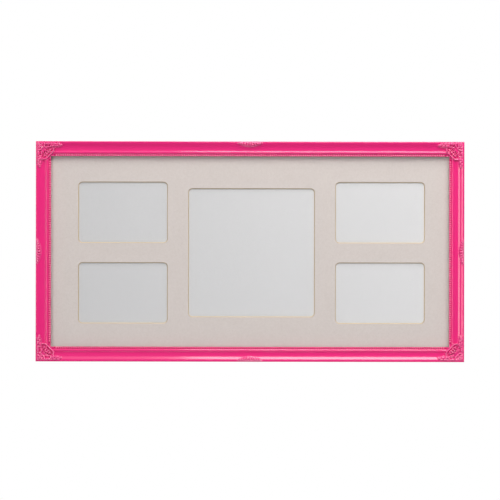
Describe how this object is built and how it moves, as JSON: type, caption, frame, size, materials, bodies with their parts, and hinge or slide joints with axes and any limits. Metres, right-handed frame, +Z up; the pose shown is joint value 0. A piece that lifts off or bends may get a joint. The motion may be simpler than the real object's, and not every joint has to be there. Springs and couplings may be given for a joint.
{
  "type": "collage photo frame",
  "caption": "Wide ornate picture frame with beaded swept moulding, carved corners and a card mount with several windows, closed at the back by turn buttons and hung by rings.",
  "frame": {"origin": "middle of the frame on the wall plane, where the rear faces of the wall bumpers touch it", "axes": "+X to the viewer's right along the long side, +Y into the wall, +Z up; the front faces -Y"},
  "size_m": [0.7, 0.0248, 0.36],
  "materials": {
    "pink_lacquered_wood": "gloss lacquer",
    "pink_lacquered_composition": "gloss lacquer over moulded composition",
    "mount_card": "matt card",
    "insert_paper": "smooth matt paper",
    "clear_acrylic": "polished",
    "fibreboard": "smooth fibreboard",
    "zinc_plated_steel": "zinc plated",
    "bumper_rubber": "matt"
  },
  "bodies": {
    "frame": {"top_rail": "pink_lacquered_wood", "bottom_rail": "pink_lacquered_wood", "left_rail": "pink_lacquered_wood", "right_rail": "pink_lacquered_wood", "pearl_beading_top": "pink_lacquered_composition", "pearl_beading_bottom": "pink_lacquered_composition", "pearl_beading_left": "pink_lacquered_composition", "pearl_beading_right": "pink_lacquered_composition", "corner_ornament_top_left": "pink_lacquered_composition", "corner_ornament_top_right": "pink_lacquered_composition", "corner_ornament_bottom_left": "pink_lacquered_composition", "corner_ornament_bottom_right": "pink_lacquered_composition", "centre_ornament_top": "pink_lacquered_composition", "centre_ornament_bottom": "pink_lacquered_composition", "centre_ornament_left": "pink_lacquered_composition", "centre_ornament_right": "pink_lacquered_composition", "corner_v_nails": "zinc_plated_steel", "glazing": "clear_acrylic", "mount_board": "mount_card", "insert_sheet": "insert_paper", "backing_board": "fibreboard", "turn_button_screws": "zinc_plated_steel", "hanger_strap_left": "zinc_plated_steel", "hanger_strap_right": "zinc_plated_steel", "hanger_screws": "zinc_plated_steel", "wall_bumpers": "bumper_rubber"},
    "turn_button_top_left": {"turn_button_top_left": "zinc_plated_steel"},
    "turn_button_top_middle": {"turn_button_top_middle": "zinc_plated_steel"},
    "turn_button_top_right": {"turn_button_top_right": "zinc_plated_steel"},
    "turn_button_bottom_left": {"turn_button_bottom_left": "zinc_plated_steel"},
    "turn_button_bottom_middle": {"turn_button_bottom_middle": "zinc_plated_steel"},
    "turn_button_bottom_right": {"turn_button_bottom_right": "zinc_plated_steel"},
    "turn_button_left": {"turn_button_left": "zinc_plated_steel"},
    "turn_button_right": {"turn_button_right": "zinc_plated_steel"},
    "hanger_ring_left": {"hanger_ring_left": "zinc_plated_steel"},
    "hanger_ring_right": {"hanger_ring_right": "zinc_plated_steel"}
  },
  "joints": [
    {"name": "turn_button_top_left_pivot", "type": "hinge", "parent": "frame", "child": "turn_button_top_left", "pos_m": [-0.23, -0.005, 0.1675], "axis": [0, 1, 0], "continuous": true},
    {"name": "turn_button_top_middle_pivot", "type": "hinge", "parent": "frame", "child": "turn_button_top_middle", "pos_m": [0, -0.005, 0.1675], "axis": [0, 1, 0], "continuous": true},
    {"name": "turn_button_top_right_pivot", "type": "hinge", "parent": "frame", "child": "turn_button_top_right", "pos_m": [0.23, -0.005, 0.1675], "axis": [0, 1, 0], "continuous": true},
    {"name": "turn_button_bottom_left_pivot", "type": "hinge", "parent": "frame", "child": "turn_button_bottom_left", "pos_m": [-0.23, -0.005, -0.1675], "axis": [0, 1, 0], "continuous": true},
    {"name": "turn_button_bottom_middle_pivot", "type": "hinge", "parent": "frame", "child": "turn_button_bottom_middle", "pos_m": [0, -0.005, -0.1675], "axis": [0, 1, 0], "continuous": true},
    {"name": "turn_button_bottom_right_pivot", "type": "hinge", "parent": "frame", "child": "turn_button_bottom_right", "pos_m": [0.23, -0.005, -0.1675], "axis": [0, 1, 0], "continuous": true},
    {"name": "turn_button_left_pivot", "type": "hinge", "parent": "frame", "child": "turn_button_left", "pos_m": [-0.3375, -0.005, 0], "axis": [0, 1, 0], "continuous": true},
    {"name": "turn_button_right_pivot", "type": "hinge", "parent": "frame", "child": "turn_button_right", "pos_m": [0.3375, -0.005, 0], "axis": [0, 1, 0], "continuous": true},
    {"name": "hanger_ring_left_hinge", "type": "hinge", "parent": "frame", "child": "hanger_ring_left", "pos_m": [-0.3405, -0.0031, 0.09], "axis": [-1, 0, 0], "range_deg": [0, 172]},
    {"name": "hanger_ring_right_hinge", "type": "hinge", "parent": "frame", "child": "hanger_ring_right", "pos_m": [0.3405, -0.0031, 0.09], "axis": [-1, 0, 0], "range_deg": [0, 172]}
  ]
}
